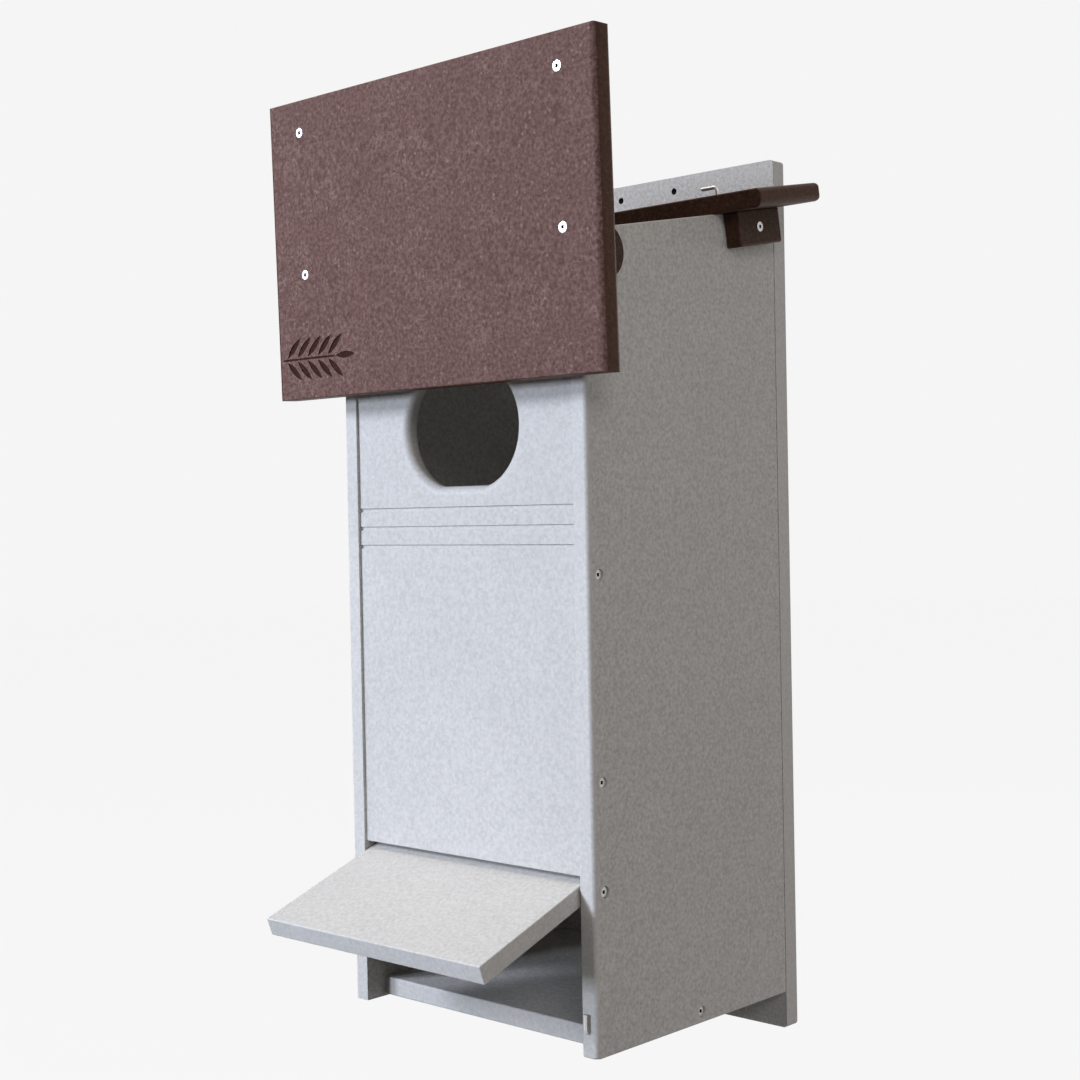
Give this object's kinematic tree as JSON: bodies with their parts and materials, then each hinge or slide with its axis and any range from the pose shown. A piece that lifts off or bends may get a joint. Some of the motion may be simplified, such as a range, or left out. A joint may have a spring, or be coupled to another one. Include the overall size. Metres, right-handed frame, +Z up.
{
  "type": "birdhouse",
  "caption": "Hanging nest box of recycled-plastic boards: lift-up roof lid on side arms, oval entrance, drop-down clean-out door and turning L-hook latches.",
  "frame": {"origin": "centre line of the back board's rear face, level with the underside of the side panels", "axes": "+X to the right as seen from the front, +Y out of the back board's rear face (the front faces -Y), +Z up the box"},
  "size_m": [0.308, 0.3047, 0.6584],
  "materials": {
    "grey_board": "speckled pale grey recycled plastic board, matte",
    "brown_board": "speckled purple-brown recycled plastic board, matte",
    "steel": "bright plain steel"
  },
  "bodies": {
    "box": {"back_board": "grey_board", "left_side": "grey_board", "right_side": "grey_board", "front_panel": "grey_board", "floor_board": "grey_board", "roof_rear_strip": "brown_board", "left_rear_block": "brown_board", "right_rear_block": "brown_board", "left_lid_pivot_screw": "steel", "right_lid_pivot_screw": "steel", "front_panel_screws": "steel", "floor_screws": "steel", "back_board_screws": "steel", "rear_block_screws": "steel", "rear_strip_screws": "steel"},
    "lid": {"roof_lid": "brown_board", "left_lid_arm": "brown_board", "right_lid_arm": "brown_board", "lid_arm_screws": "steel"},
    "door": {"cleanout_door": "grey_board", "left_door_pivot_screw": "steel", "right_door_pivot_screw": "steel"},
    "lid_hook": {"lid_latch_hook": "steel"},
    "door_hook": {"door_latch_hook": "steel"}
  },
  "joints": [
    {"name": "lid_swing", "type": "hinge", "parent": "box", "child": "lid", "pos_m": [0, -0.2092, 0.5035], "axis": [1, 0, 0], "range_deg": [-83, 7]},
    {"name": "door_swing", "type": "hinge", "parent": "box", "child": "door", "pos_m": [0, -0.20575, 0.1038], "axis": [-1, 0, 0], "range_deg": [-70, 36]},
    {"name": "lid_hook_turn", "type": "hinge", "parent": "box", "child": "lid_hook", "pos_m": [0.115, -0.07806, 0.55517], "axis": [0, -0.1736, 0.9848], "range_deg": [0, 90]},
    {"name": "door_hook_turn", "type": "hinge", "parent": "box", "child": "door_hook", "pos_m": [0.1066, -0.2157, 0.0163], "axis": [0, -1, 0], "range_deg": [0, 90]}
  ]
}
